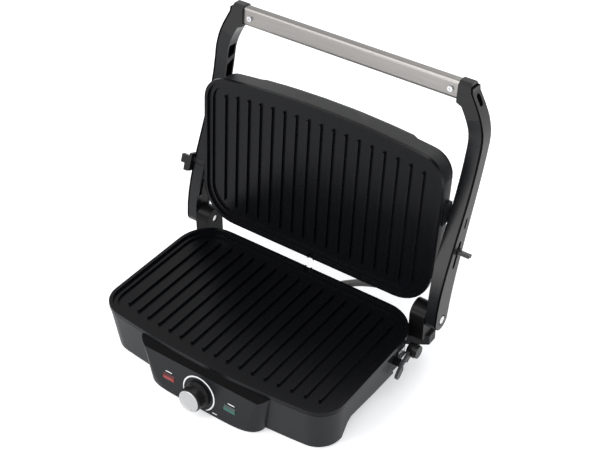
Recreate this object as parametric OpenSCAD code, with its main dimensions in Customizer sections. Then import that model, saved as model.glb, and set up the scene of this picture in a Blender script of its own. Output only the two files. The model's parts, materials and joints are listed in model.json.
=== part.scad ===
// Panini press with two ribbed grill plates, a floating lid and a swing handle.
// The base and the plates are laid out about the middle of the lower plate, with
// z = 0 on the seam between that plate's rim and the base. The lid and the handle
// are drawn closed, and opened() swings them back about the hinge axis.

/* [Plates] */
// Width of each grill plate
plate_w = 300; // [290:1:320]
// Depth of a plate along its sides
plate_d = 177; // [172:1:190]
// Forward bow of the front edge
plate_bow = 11; // [8:0.5:13]
// Radius of a plate's front corners
front_r = 30; // [26:1:34]
// Radius of a plate's rear corners
rear_r = 42; // [36:1:46]
// Height of the plate rim over the seam
rim_h = 4.6; // [4:0.1:5.2]
// Width of the plate rim
rim_w = 4; // [3:0.5:5]
// Height of the plain border over the seam
border_h = 1.6; // [1.2:0.1:2]
// Drop from the rim to the cooking floor
well_h = 5.6; // [5.2:0.1:6.4]
// Thickness of the plate floor
plate_t = 3; // [2.5:0.1:3.5]
// How far the pan under the rim is set in
pan_in = 7; // [6.5:0.5:8]
// Thickness of the pan's side
pan_side = 2.5; // [2:0.1:3]
// Number of ribs on a plate
rib_count = 17; // [9:2:17]
// Distance of the outer ribs from the plate's sides
rib_side = 25.2; // [23:0.2:30]
// Width of a rib
rib_w = 3.4; // [2.4:0.2:4.4]
// Height of a rib
rib_h = 2.8; // [2:0.2:3.4]
// Space left clear behind the ribs
rib_rear = 20; // [16:1:24]
// Space left clear in front of the ribs
rib_front = 22; // [18:1:26]
// Width of the drain spout
spout_w = 9; // [7:1:12]
// How far the drain spout stands out
spout_l = 2.2; // [1:0.2:2.6]
// Space between the two rims when the press is closed
closed_gap = 0.6; // [0.4:0.1:1.5]

/* [Base] */
// Height of the seam over the underside of the base
base_h = 52; // [48:1:58]
// Height of the side walls
side_h = 31.5; // [29:0.5:34]
// Drop of the side walls below the cover at the back
side_drop = 9; // [6:0.5:12]
// Wall thickness of the plastic shells
wall = 2.5; // [2:0.1:3]
// Dark gap between a plate rim and its shell
seam_gap = 1.5; // [1:0.1:2]
// How far the shell stands inside the plate's outline
shell_in = 1; // [0.6:0.1:1.5]
// Draft of the shell from top to bottom
base_draft = 5; // [3:0.5:6]
// Depth of the front plinth, from the front edge back
plinth_d = 48; // [44:1:52]
// Thickness of the bottom cover
cover_t = 2.2; // [1.8:0.1:2.6]
// Height of the rubber feet
foot_h = 2; // [1.5:0.5:4]
// Radius of the rubber feet
foot_r = 8; // [6:0.5:9]
// Distance of the feet from the plate's sides
foot_in = 38; // [34:1:46]
// Distance of the rear feet behind the plate's middle
rear_foot_y = 70; // [60:1:72]

/* [Control panel] */
// Distance of the panel's ends from the plate's sides
panel_in = 66; // [60:1:72]
// How far the panel stands out of the shell at its foot
panel_out = 15; // [13:0.5:18]
// How far the panel's ends lean in from top to foot
panel_lean = 11; // [8:0.5:14]
// Lean of the panel face
panel_tilt = 6.5; // [4:0.5:8]
// Drop of the panel's top edge below the seam
panel_drop = 7; // [5:0.5:9]
// Height of the knob axis over the underside of the base
knob_up = 20; // [19:0.5:23]
// Radius of the knob at the panel
knob_r = 15; // [14.5:0.5:17]
// Height of the knob
knob_h = 16; // [13:0.5:18]
// Radius of the metal cap
cap_r = 12.3; // [10:0.1:13]
// Distance of the lamps from the knob
lamp_x = 40; // [34:1:44]
// Length of a lamp lens
lamp_l = 15; // [12:0.5:17]
// Height of a lamp lens
lamp_h = 7.6; // [6:0.2:8]

/* [Hinge and handle] */
// Distance of the hinge axis behind the plate's rear edge
hinge_back = 6; // [5:0.5:8]
// Height of the hinge axis over the seam
hinge_z = 8; // [7:0.5:9]
// Angle from closed to the pose shown
open_angle = 94.4; // [85:0.2:98]
// Radius of the hinge ears
ear_r = 13.5; // [12:0.5:14.5]
// Width of a hinge ear
ear_w = 18; // [15:0.5:19]
// Radius of the hinge pins
hinge_pin_r = 4; // [3.5:0.1:4.5]
// Radial running clearance of the pins
fit = 0.05; // [0.03:0.01:0.08]
// Clearance between parts that pass each other
pass_gap = 0.6; // [0.5:0.1:1]
// Gap between a plate's side and the handle arm
arm_gap = 1.2; // [1:0.1:2]
// Width of a handle arm without its cover
arm_w = 14.3; // [13.5:0.1:15]
// How far an arm's inner side steps out beside its hinge ear
arm_taper = 3.5; // [2.5:0.1:4]
// Radius of an arm's round end at the hinge
arm_end_r = 12.2; // [11:0.1:13]
// Thickness of an arm's outer cover
arm_cover_t = 2.2; // [2:0.1:2.6]
// Thickness of the arm walls
arm_wall = 2.4; // [2:0.1:2.8]
// Distance of the bar in front of the plate's middle when closed
bar_fore = 147.7; // [142:0.1:156]
// Rise of the bar over the hinge axis when closed
bar_rise = 47.9; // [45:0.2:50]
// Width of the bar's flat face
bar_h = 21.5; // [19:0.5:23]
// Depth of the bar
bar_d = 11.5; // [10.5:0.5:13]
// Radius of the bar's edges
bar_r = 4; // [2.5:0.5:5]
// Wall of the bar's steel tube
bar_wall = 1.2; // [1:0.1:1.5]
// Distance of the bar's visible ends from the plate's sides
bar_in = 18; // [15:0.5:21]
// Distance of the lid pivot in front of the plate's middle when closed
pivot_fore = 17.9; // [14:0.1:22]
// Rise of the lid pivot over the hinge axis when closed
pivot_rise = 26.4; // [25:0.2:27.6]
// Radius of the lid pivot pins
pivot_pin_r = 3; // [2.5:0.1:3.5]
// Thickness of the steel straps
strap_t = 2; // [1.5:0.1:2.4]
// Length of the slot in the right arm
slot_l = 31; // [26:0.5:34]
// Width of the slot in the right arm
slot_w = 5; // [4:0.2:6]
// How far a lever stands out of the arm's cover
lever_out = 14.4; // [11:0.1:16]

/* [Lid] */
// Height of the lid shell's side walls
lid_side = 24; // [22:0.5:26]
// Height of the lid shell
lid_h = 30; // [29:0.5:32]
// Draft of the lid's side walls
lid_draft = 3; // [2:0.5:4]
// How far the lid's top is set in at its edge
lid_shoulder = 9; // [6:0.5:12]
// Distance of the lid's raised panel from the plate's sides
lid_panel_in = 57; // [50:1:66]
// Height of the raised panel
lid_panel_h = 3; // [2:0.5:4]

/* [Inside] */
// Radius of the heating elements
element_r = 3.25; // [2.75:0.25:3.5]
// Thickness of the reflector trays
reflector_t = 0.8; // [0.6:0.1:1]
// Depth of a reflector tray
reflector_h = 9; // [8.5:0.1:9.5]
// Radius of the lead between base and lid
lead_r = 4.2; // [3.5:0.1:4.5]

/* [Hidden] */

shell_color = [0.24, 0.24, 0.25];
plate_color = [0.12, 0.12, 0.13];
steel_color = [0.80, 0.79, 0.77];
rubber_color = [0.08, 0.08, 0.08];
zinc_color = [0.62, 0.63, 0.65];

seat_gap = 0.3;
half_w = plate_w / 2;
rear_y = plate_d / 2;
rib_pitch = (plate_w - 2 * rib_side) / (rib_count - 1);
foot_x = half_w - foot_in;
panel_half = half_w - panel_in;
lid_panel_half = half_w - lid_panel_in;
bow_r = (half_w * half_w + plate_bow * plate_bow) / (2 * plate_bow);
bow_y = -rear_y - plate_bow + bow_r;
front_y = -rear_y - plate_bow;
floor_z = rim_h - well_h;
pan_z = floor_z - plate_t;
seam_drop = -seam_gap;
hinge_y = rear_y + hinge_back;
bar_half = half_w - bar_in;
bar_reach = hinge_y + bar_fore;
pivot_reach = hinge_y + pivot_fore;
lid_z = 2 * rim_h + closed_gap;
ground = base_h + foot_h;
plinth_y = front_y + plinth_d;
shelf_z = pan_z - seat_gap - reflector_h - seat_gap;

// The panel face runs through the panel's foot and leans back by panel_tilt.
panel_foot_y = front_y + base_draft - panel_out;
knob_z = -base_h + knob_up;
knob_y = panel_foot_y + knob_up * tan(panel_tilt);

// Handle arm: the edges of its side profile, closed, measured from the hinge axis.
arm_low = [
    [0, -arm_end_r], [-0.3055 * bar_reach, -14.6],
    [-0.5326 * bar_reach, 43.6], [16.2 - bar_reach, 39.8]
];
arm_high = [[0, arm_end_r], [-0.2944 * bar_reach, 16.5], [-0.6441 * bar_reach, 56], [22.5 - bar_reach, 56.8]];
arm_in_x = half_w + arm_gap;
arm_out_x = arm_in_x + arm_w;
cover_in_x = arm_out_x + 0.15;
cover_out_x = cover_in_x + arm_cover_t;
arm_end_y = -bar_reach - bar_h / 2 - 1.2;
arm_end_low = bar_rise - bar_d / 2 - 2.6;
arm_end_high = bar_rise + bar_d / 2 + 1.4;
arm_chamfer = 4;
// where an arm starts to turn in, how far its outer side does, and the block
// on its inner side that holds the bar's end
bend_y = 50.2 - bar_reach;
arm_turn = arm_in_x - bar_half + 0.8;
block_y = bar_h / 2 + 0.8 - bar_reach;
block_step = 6.4;
taper_l = 75;
bar_tuck = 6;
ear_in_x = arm_in_x + arm_taper - pass_gap - ear_w;
strap_x = arm_in_x + arm_taper + 0.6;
strap_r = 7.5;
strap_pivot_r = 6.5;

// The lead's route in the pose shown, from the base's rear wall to the lid,
// with y measured from the plate's rear edge.
lead_route = [
    for (p = [
        [26, -5.5, -20], [26, 5.5, -20], [28, 13.5, -20], [34, 19.5, -18.5],
        [43, 22.5, -14.5], [54, 23.5, -9], [66, 24, -4], [77, 24.5, -0.5],
        [85, 24.9, 4], [88, 25.1, 10], [88, 25.3, 13], [88, 25.8, 21]
    ]) [p[0], rear_y + p[1], p[2]]
];

function turned(p, a) = [p[0] * cos(a) - p[1] * sin(a), p[0] * sin(a) + p[1] * cos(a)];
arm_side = concat(
    bezier(arm_low, 14),
    [[arm_end_y + arm_chamfer, arm_end_low], [arm_end_y, arm_end_low + arm_chamfer],
     [arm_end_y, arm_end_high - 3], [arm_end_y + 3, arm_end_high]],
    reversed(bezier(arm_high, 14))
);
reach_front = knob_y - (knob_h + 1) * cos(panel_tilt) - cap_r * sin(panel_tilt);
reach_back = hinge_y + max([for (p = arm_side) turned(p, -open_angle)[0]]);
plate_y = -(reach_front + reach_back) / 2;

// Heating elements
element_gap_x = 18;
element_back_y = rear_y - 30;
element_front_y = front_y + 42;
element_half = half_w - 38;
element_bend = 22;
element_z = pan_z - seat_gap - element_r;

// Plate clips, tray screws and the ledge under a plate's rim
clip_w = 14;
clip_t = 0.8;
clip_z = pan_z - 6;
ledge_h = 4;
fix_points = [[half_w - 21, plinth_y + 17.5], [half_w - 56, rear_y - 22.5]];
fix_r = 1.2;

// Inside of the base
shelf_w = 16;
shelf_low = -side_h + cover_t + seat_gap;
lug_in_x = ear_in_x - 6;
lug_out_x = arm_in_x + 6;
lug_y0 = rear_y - 12;
lug_slant = 15;
lug_y1 = hinge_y + ear_r;
lug_z0 = -side_h;
lug_z1 = lug_z0 + 12.5;
lug_r = 5;
lug_screw_xs = [ear_in_x + 5, ear_in_x + 12];
inlet_x = -62;
inlet_z = -17;
inlet_wall_y = rear_y - shell_in - base_draft * 17 / base_h + 0.4;
shaft_r = 3;

// Release lever and its recess in the right side
recess_y0 = 16;
recess_y1 = 62;
recess_x = half_w - 6.6;
lever_y = 42.6;
lever_z = -23.7;
lever_x0 = half_w + 2;
lever_t = 3;
lever_up = 67;
lever_down = 46;
lever_knob_l = 19.5;
lever_tail_l = 12.6;
pin_head_r = 4.5;
pin_seat_r = 5.8;

// Bays inside the arms, as shares of an arm's length, and the levers' place on it
bays = [[0.125, 0.225], [0.25, 0.45], [0.475, 0.575], [0.6, 0.7], [0.725, 0.825], [0.85, 0.95]];
lever_share = 0.35;
lever_at = arm_mid(lever_share);
lever_turn = arm_dir(lever_share) + 180;
latch_share = 0.325;
latch_at = bezier(arm_low, 40)[round(40 * latch_share)];
latch_w = 6;
latch_d = 5;
slider_rest = -4;
slider_neck_l = 6;
neck_r = slot_w / 2 - seat_gap;

// Ends of the bar and the lid's pivot
bar_screw_x = bar_half - 8.5;
arm_screw_x = bar_half + bar_tuck + 3.5;
screw_drop = 5;
screw_well_r = 3.4;
screw_well_l = 5.2;
pivot_at = [-pivot_reach, pivot_rise];
pivot_pin_end = strap_x + strap_t + 5;
lid_boss_x = half_w - 0.2;
pivot_lid_y = hinge_y - pivot_reach;
pivot_lid_z = hinge_z + pivot_rise - lid_z;
boss_r = pivot_pin_r + 3.2;
lid_lead = [88, 17];

function bezier(p, n) = [
    for (i = [0 : n])
        let (t = i / n, s = 1 - t)
        s * s * s * p[0] + 3 * s * s * t * p[1] + 3 * s * t * t * p[2] + t * t * t * p[3]
];
function reversed(l) = [for (i = [len(l) - 1 : -1 : 0]) l[i]];
function arc_points(c, r, a0, a1, n) = [
    for (i = [0 : n])
        let (a = a0 + (a1 - a0) * i / n)
        [c[0] + r * cos(a), c[1] + r * sin(a)]
];

// Outline of a plate, set in by t all round.
function plate_outline(t) =
    let (
        w = half_w - t,
        rf = front_r - t,
        rr = rear_r - t,
        yc = bow_y - sqrt(pow(bow_r - t - rf, 2) - pow(w - rf, 2)),
        a = atan2(yc - bow_y, w - rf)
    )
    concat(
        arc_points([0, bow_y], bow_r - t, -180 - a, a, 14),
        arc_points([w - rf, yc], rf, a + 10, 0, 7),
        arc_points([w - rr, rear_y - t - rr], rr, 0, 90, 9),
        arc_points([rr - w, rear_y - t - rr], rr, 90, 180, 9),
        arc_points([rf - w, yc], rf, 180, 170 - a, 7)
    );

// Outline of the control panel seen from above, w to each side.
function panel_outline(w, back) = concat(
    [for (i = [-15 : 15])
        let (a = 6 * i)
        [w * sign(a) * pow(abs(sin(a)), 1 / 3), panel_foot_y + (panel_out + 3) * (1 - cos(a))]],
    [[w, back], [-w, back]]
);

module seat() { translate([0, plate_y, ground]) children(); }

// Swings what was drawn closed back to the pose shown.
module opened() {
    translate([0, hinge_y, hinge_z])
        rotate([-open_angle, 0, 0])
            children();
}

// The lid's own frame: z = 0 on its seam, z up through its shell.
module on_lid() {
    opened() translate([0, -hinge_y, lid_z - hinge_z]) children();
}

module on_panel(x) {
    translate([x, knob_y, knob_z]) rotate([90 - panel_tilt, 0, 0]) children();
}

module both_sides() {
    children();
    mirror([1, 0, 0]) children();
}

module slab(t, z0, z1) {
    translate([0, 0, z0]) linear_extrude(height = z1 - z0) polygon(plate_outline(t));
}

// A drafted block under the plate's outline: t at z0, t + draft at z1.
module drafted(t, z0, z1, draft) {
    kx = (half_w - t - draft) / (half_w - t);
    ky = (rear_y + plate_bow - t - draft) / (rear_y + plate_bow - t);
    translate([0, 0, z0])
        mirror([0, 0, z1 < z0 ? 1 : 0])
            linear_extrude(height = abs(z1 - z0), scale = [kx, ky], slices = 1)
                polygon(plate_outline(t));
}

module x_rod(r, x0, x1) { translate([x0, 0, 0]) rotate([0, 90, 0]) cylinder(r = r, h = x1 - x0, $fn = 48); }

// ---------------------------------------------------------------- grill plates

module rib(x) {
    reach = sqrt(pow(bow_r, 2) - x * x);
    corner = abs(x) > half_w - front_r ? 8 * (abs(x) - half_w + front_r) / front_r : 0;
    y0 = bow_y - reach + rib_front + corner;
    back = abs(x) > half_w - rear_r ? 12 * (abs(x) - half_w + rear_r) / rear_r : 0;
    y1 = rear_y - rib_rear - back;
    translate([x, 0, floor_z]) {
        translate([-rib_w / 2, y0, -1]) cube([rib_w, y1 - y0, rib_h + 1]);
        for (y = [y0, y1]) translate([0, y, -1]) cylinder(r = rib_w / 2, h = rib_h + 1, $fn = 24);
    }
}

module grill_plate() {
    color(plate_color)
    union() {
        difference() {
            union() {
                slab(0, 0, rim_h);
                slab(pan_in, pan_z, border_h);
                translate([-spout_w / 2, rear_y - 1, 0]) cube([spout_w, spout_l + 1, rim_h - 1.4]);
            }
            slab(rim_w, border_h, rim_h + 1);
            slab(pan_in + pan_side, floor_z, rim_h);
            translate([-spout_w / 2 + 1.5, rear_y - rim_w - 1, rim_h - 3])
                cube([spout_w - 3, rim_w + spout_l + 3, 4]);
        }
        for (i = [0 : rib_count - 1])
            rib((i - (rib_count - 1) / 2) * rib_pitch);
    }
}

module lower_plate() { seat() grill_plate(); }
module upper_plate() { seat() on_lid() mirror([0, 0, 1]) grill_plate(); }

// Steel tray under a plate, screwed to the shell.
module reflector() {
    z1 = pan_z - seat_gap;
    color(zinc_color)
    difference() {
        slab(pan_in + 3, z1 - reflector_h, z1);
        slab(pan_in + 3 + reflector_t, z1 - reflector_h + reflector_t, z1 + 1);
        for (x = [-element_gap_x, element_gap_x])
            translate([x, element_back_y, z1 - reflector_h - 1])
                cylinder(r = element_r + 0.3, h = 4, $fn = 32);
        at_fixings() translate([0, 0, z1 - reflector_h - 1]) cylinder(r = fix_r + seat_gap, h = 4, $fn = 24);
    }
}

module at_fixings() {
    both_sides() for (p = fix_points) translate(p) children();
}

// Screws through a tray's floor; the heads lie inside the tray.
module tray_screws() {
    at_fixings()
        translate([0, 0, shelf_z + seat_gap + reflector_t + 0.1]) mirror([0, 0, 1]) screw(fix_r, 2.6, 8);
}

// Ledge inside a shell's top edge, which carries the plate's rim.
module rim_ledge() {
    difference() {
        slab(shell_in + wall - 1, -ledge_h - seat_gap, -seat_gap);
        slab(pan_in - 2 * seat_gap, -ledge_h - 1, 0);
        both_sides()
            translate([half_w - pan_in - 1, -clip_w / 2 - 1, -ledge_h - 1])
                cube([4.6, clip_w + 2, ledge_h + 2]);
    }
    both_sides()
        translate([half_w - pan_in - 2, -clip_w / 2 - 1, shelf_z])
            cube([6, clip_w + 2, clip_z - seat_gap - shelf_z]);
}

module lower_reflector() { seat() reflector(); }
module upper_reflector() { seat() on_lid() mirror([0, 0, 1]) reflector(); }

module y_rod(r, y0, y1) { translate([0, y0, 0]) rotate([-90, 0, 0]) cylinder(r = r, h = y1 - y0, $fn = 32); }
module bend(r, big) { rotate_extrude(angle = 90, $fn = 64) translate([big, 0]) circle(r = r, $fn = 32); }

// Tubular heating element: an open loop with its two ends turned down.
module element() {
    r = element_r;
    b = element_bend;
    color(zinc_color)
    translate([0, 0, element_z])
    union() {
        translate([0, element_front_y, 0]) x_rod(r, -element_half + b, element_half - b);
        both_sides() {
            translate([element_half, 0, 0]) y_rod(r, element_front_y + b, element_back_y - b);
            translate([element_half - b, element_back_y - b, 0]) bend(r, b);
            translate([element_half - b, element_front_y + b, 0]) rotate([0, 0, -90]) bend(r, b);
            translate([0, element_back_y, 0]) x_rod(r, element_gap_x, element_half - b);
            translate([element_gap_x, element_back_y, 0]) {
                sphere(r = r, $fn = 32);
                translate([0, 0, -reflector_h - 3]) cylinder(r = r, h = reflector_h + 3, $fn = 32);
            }
        }
    }
}

module lower_element() { seat() element(); }
module upper_element() { seat() on_lid() mirror([0, 0, 1]) element(); }

// Spring clips that hold a plate's pan at its two sides.
module plate_clips() {
    color(steel_color)
    both_sides()
        translate([half_w - pan_in + seat_gap, -clip_w / 2, clip_z]) {
            cube([clip_t, clip_w, -1.5 - clip_z]);
            cube([clip_t + 0.6, clip_w, clip_t]);
        }
}

module lower_plate_clips() { seat() plate_clips(); }
module upper_plate_clips() { seat() on_lid() mirror([0, 0, 1]) plate_clips(); }

// ---------------------------------------------------------------- base

module base_body(extra) {
    drafted(shell_in + extra, seam_drop + extra, -base_h + extra, base_draft);
}

// The panel: a plan that narrows to the foot, cut by a face that leans back and a
// slope under the seam.
module panel_body(inset) {
    w = panel_half - inset;
    intersection() {
        translate([0, inset, seam_drop]) mirror([0, 0, 1])
            linear_extrude(height = base_h - seam_gap, scale = [(w - panel_lean) / w, 1], slices = 1)
                polygon(panel_outline(w, front_y + 20));
        rotate([90, 0, 90])
            translate([0, 0, -panel_half - 1])
                linear_extrude(height = 2 * panel_half + 2)
                    polygon([
                        [panel_foot_y + inset, -base_h + inset],
                        [panel_foot_y + inset + (base_h - panel_drop) * tan(panel_tilt), -panel_drop - inset],
                        [front_y + shell_in + 0.6 + inset, seam_drop - inset],
                        [front_y + 20, seam_drop - inset],
                        [front_y + 20, -base_h + inset]
                    ]);
    }
}

// Cut under the side walls, behind the front plinth.
module side_undercut() {
    rotate([90, 0, 90])
        translate([0, 0, -half_w - 20])
            linear_extrude(height = plate_w + 40)
                polygon([
                    [plinth_y - 6, -base_h - 1],
                    [plinth_y + 2, -side_h - 4],
                    [plinth_y + 8, -side_h + 0.5],
                    [0, -side_h - 4],
                    [rear_y + 5, -side_h - side_drop],
                    [rear_y + 5, -base_h - 1]
                ]);
}

module base_housing() {
    seat()
    color(shell_color)
    difference() {
        union() {
            difference() {
                union() {
                    base_body(0);
                    panel_body(0);
                }
                difference() {
                    union() {
                        drafted(shell_in + wall, 1, -base_h + wall, base_draft);
                        panel_body(wall);
                    }
                    translate([-half_w, plinth_y - 6 - wall, -base_h - 1])
                        cube([plate_w, wall, base_h - side_h + 1]);
                    translate([-half_w, plinth_y - 6 - wall, -side_h - wall + 0.5])
                        cube([plate_w, 14 + wall, wall]);
                }
                side_undercut();
            }
            rim_ledge();
            // shelves that carry the reflector tray and take the cover's screws
            both_sides() {
                translate(concat(fix_points[0] - [5, shelf_w / 2], [shelf_low]))
                    cube([half_w - fix_points[0][0], shelf_w, shelf_z - shelf_low]);
                translate(concat(fix_points[1] - [shelf_w / 2, 5], [shelf_low]))
                    cube([shelf_w, rear_y - fix_points[1][1], shelf_z - shelf_low]);
            }
            // lugs behind the rear corners, under the hinge brackets
            both_sides() hinge_lug();
            // wall behind the side recess
            translate([recess_x - wall, recess_y0 + 2, -side_h])
                cube([wall, recess_y1 - recess_y0, side_h - ledge_h]);
            // sleeve for the lever's pivot screw
            translate([0, lever_y, lever_z]) x_rod(4.5, recess_x - 9, lever_x0 - seat_gap);
        }
        difference() {
            side_recess();
            translate([0, lever_y, lever_z]) x_rod(4.5, recess_x - 9, lever_x0 - seat_gap);
        }
        translate([0, lever_y, lever_z]) x_rod(2, recess_x - 12, lever_x0 + 1);
        at_fixings() translate([0, 0, -side_h]) cylinder(r = 1.6, h = 9.4, $fn = 24);
        at_fixings() translate([0, 0, shelf_z - 8]) cylinder(r = fix_r + 0.1, h = 9, $fn = 24);
        both_sides() for (x = lug_screw_xs)
            translate([x, rear_y + 3, lug_z0 - 1]) cylinder(r = 1.6, h = lug_z1 - lug_z0 + 2, $fn = 24);
        on_panel(0) translate([0, 0, -12]) cylinder(r = 5, h = 20, $fn = 48);
        for (x = [-lamp_x, lamp_x])
            on_panel(x) translate([-lamp_l / 2, -lamp_h / 2, -12]) cube([lamp_l, lamp_h, 20]);
        translate([inlet_x, 0, inlet_z]) y_rod(6, rear_y - 12, rear_y + 4);
        translate([lead_route[0][0], 0, lead_route[0][2]]) y_rod(lead_r + 1.6, rear_y - 12, rear_y + 4);
    }
}

// Its front runs slanting from the corner out to the side.
module hinge_lug() {
    translate([0, 0, lug_z0]) linear_extrude(height = lug_z1 - lug_z0)
        polygon(concat(
            [[lug_in_x, lug_y0], [lug_in_x + 4, lug_y0], [lug_out_x, lug_y0 + lug_slant]],
            arc_points([lug_out_x - lug_r, lug_y1 - lug_r], lug_r, 0, 90, 8),
            [[lug_in_x, lug_y1]]
        ));
}

// Recess in the right side for the release lever, open at the bottom.
module side_recess() {
    rotate([90, 0, 90]) translate([0, 0, recess_x])
        linear_extrude(height = 40)
            polygon([
                [recess_y0, 1], [recess_y0 + 25, -side_h - 10],
                [recess_y1, -side_h - 10], [recess_y1, 1]
            ]);
}

// Flat cover with the two rear legs moulded on.
module bottom_cover() {
    seat()
    color(shell_color * 0.8)
    difference() {
        union() {
            intersection() {
                drafted(shell_in + wall + seat_gap, 1, -base_h, base_draft);
                translate([-half_w, plinth_y + 9, -side_h]) cube([plate_w, rear_y - plinth_y, cover_t]);
            }
            both_sides() translate([foot_x, rear_foot_y, -base_h])
                cylinder(r = foot_r + 2, h = base_h - side_h + 1, $fn = 64);
        }
        translate([recess_x - wall - seat_gap, recess_y0 - 2, -side_h - 1])
            cube([30, recess_y1 - recess_y0 + 6, cover_t + 2]);
        both_sides() translate([lug_in_x - seat_gap, lug_y0 - seat_gap, -side_h - 1])
            cube([40, 40, cover_t + 2]);
        at_fixings() translate([0, 0, -side_h - 1]) cylinder(r = 1.8, h = cover_t + 2, $fn = 24);
        for (i = [-4 : 4])
            translate([i * 16 - 2, -18, -side_h - 1]) cube([4, 36, cover_t + 2]);
    }
}

module rubber_feet() {
    seat()
    color(rubber_color)
    both_sides() {
        translate([foot_x, rear_foot_y, -ground]) cylinder(r = foot_r, h = foot_h, $fn = 48);
        translate([foot_x, plinth_y - 21, -ground]) cylinder(r = foot_r, h = foot_h, $fn = 48);
    }
}

// Pan-head screw standing on z = 0 with its head below.
module screw(r, head_r, length) {
    color(zinc_color)
    difference() {
        union() {
            cylinder(r = r, h = length, $fn = 24);
            translate([0, 0, -head_r * 0.7]) cylinder(r = head_r, h = head_r * 0.7, $fn = 32);
        }
        for (a = [0, 90])
            rotate([0, 0, a]) translate([-head_r * 0.6, -0.4, -head_r * 0.7 - 1])
                cube([head_r * 1.2, 0.8, 1 + head_r * 0.3]);
    }
}

module cover_screws() {
    seat() at_fixings() translate([0, 0, -side_h - 0.1]) screw(1.5, 3, 9);
}

module base_tray_screws() { seat() tray_screws(); }

module thermostat() {
    seat()
    on_panel(0) {
        color(zinc_color)
        difference() {
            union() {
                translate([-13, -11, -wall - 19]) cube([26, 22, 15]);
                translate([0, 0, -wall - 4]) cylinder(r = 4.8, h = 6.3, $fn = 48);
            }
            translate([0, 0, -wall - 16]) cylinder(r = shaft_r + fit, h = 30, $fn = 48);
        }
    }
}

module thermostat_shaft() {
    seat()
    on_panel(0)
        color(zinc_color)
            translate([0, 0, -wall - 14]) cylinder(r = shaft_r, h = 14 + wall + knob_h - 4, $fn = 48);
}

module control_knob() {
    seat()
    on_panel(0)
        color([0.1, 0.1, 0.1])
        difference() {
            rotate_extrude($fn = 96)
                polygon([
                    [0, seat_gap + 0.3], [knob_r, seat_gap + 0.3], [knob_r, 3],
                    [knob_r - 1.5, 6], [cap_r + 1.1, knob_h - 2], [cap_r + 0.5, knob_h], [0, knob_h]
                ]);
            translate([0, 0, -1]) cylinder(r = shaft_r + fit, h = knob_h - 2, $fn = 48);
            translate([0, 0, -1]) difference() {
                cylinder(r = knob_r - 2, h = 6, $fn = 64);
                cylinder(r = shaft_r + 3, h = 8, $fn = 48);
            }
        }
}

module knob_cap() {
    seat()
    on_panel(0)
        color(steel_color)
        difference() {
            translate([0, 0, knob_h]) cylinder(r = cap_r, h = 1, $fn = 96);
            rotate([0, 0, -60]) translate([cap_r - 2.6, 0, knob_h + 0.5]) cylinder(r = 0.8, h = 2, $fn = 24);
        }
}

// Lens of a lamp, with a shoulder behind the panel.
module lamp_lens(x) {
    on_panel(x) {
        translate([-lamp_l / 2 + 0.2, -lamp_h / 2 + 0.2, -wall - 0.5])
            cube([lamp_l - 0.4, lamp_h - 0.4, wall + 1.1]);
        translate([-lamp_l / 2 - 1, -lamp_h / 2 - 1, -wall - 2.5])
            cube([lamp_l + 2, lamp_h + 2, 2]);
    }
}

module red_lamp_lens() { seat() color([0.75, 0.12, 0.08]) lamp_lens(-lamp_x); }
module green_lamp_lens() { seat() color([0.1, 0.5, 0.32]) lamp_lens(lamp_x); }

module lamp_holders() {
    seat()
    color([0.85, 0.83, 0.78])
    for (x = [-lamp_x, lamp_x])
        on_panel(x) translate([0, 0, -wall - 2.8 - 14]) cylinder(r = 3.2, h = 14, $fn = 32);
}

module terminal_block() {
    seat()
    color([0.9, 0.9, 0.86])
    translate([inlet_x - 14, rear_y - 42, -side_h + cover_t + seat_gap])
        difference() {
            cube([28, 14, 10]);
            for (x = [5, 14, 23]) translate([x, -1, 5]) rotate([-90, 0, 0])
                cylinder(r = 1.6, h = 16, $fn = 24);
        }
}

module thermal_fuse() {
    seat()
    color([0.85, 0.8, 0.6])
    translate([40, 10, shelf_z - 3.6]) x_rod(3.6, -11, 11);
}

module cord_inlet() {
    seat()
    color(rubber_color)
    translate([inlet_x, 0, inlet_z])
        difference() {
            union() {
                y_rod(5.7, inlet_wall_y - 4, inlet_wall_y + 9);
                y_rod(8, inlet_wall_y + 0.9, inlet_wall_y + 4);
            }
            y_rod(3.5, inlet_wall_y - 5, inlet_wall_y + 10);
        }
}
module lead_grommet() {
    difference() {
        union() {
            y_rod(lead_r + 1.4, -3.5, 2);
            y_rod(lead_r + 3, 0, 2);
        }
        y_rod(lead_r, -5, 4);
    }
}

module base_lead_grommet() {
    seat()
    color(rubber_color)
    translate([lead_route[0][0], inlet_wall_y + 0.6, lead_route[0][2]]) lead_grommet();
}

// Hinge bracket: an ear round the pin on a block that stands on the base's lug.
module hinge_bracket() {
    color(shell_color * 0.7)
    difference() {
        union() {
            translate([0, hinge_y, hinge_z]) x_rod(ear_r, ear_in_x, ear_in_x + ear_w);
            translate([ear_in_x, hinge_y - ear_r, lug_z1]) cube([ear_w, 2 * ear_r, hinge_z - lug_z1]);
        }
        translate([0, hinge_y, hinge_z]) x_rod(hinge_pin_r + fit, ear_in_x - 1, ear_in_x + ear_w + 1);
        for (x = lug_screw_xs)
            translate([x, rear_y + 3, lug_z1 - 1]) cylinder(r = 1.2, h = 12, $fn = 24);
        // the plate's rim and the shell pass in front of the bracket
        slab(-seat_gap, -seam_gap - 6, rim_h + 1);
        drafted(shell_in - seat_gap, 1, -base_h, base_draft);
    }
}

module right_hinge_bracket() { seat() hinge_bracket(); }
module left_hinge_bracket() { seat() mirror([1, 0, 0]) hinge_bracket(); }

module bracket_screws() {
    seat()
    both_sides() for (x = lug_screw_xs)
        translate([x, rear_y + 3, lug_z0 - 0.1]) screw(1.1, 2.4, 22);
}

module hinge_pin() {
    color(steel_color)
    translate([0, hinge_y, hinge_z]) {
        x_rod(hinge_pin_r, ear_in_x + 1, cover_out_x - 0.9);
        x_rod(pin_head_r, cover_out_x - 0.9, cover_out_x + 0.4);
    }
}

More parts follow.
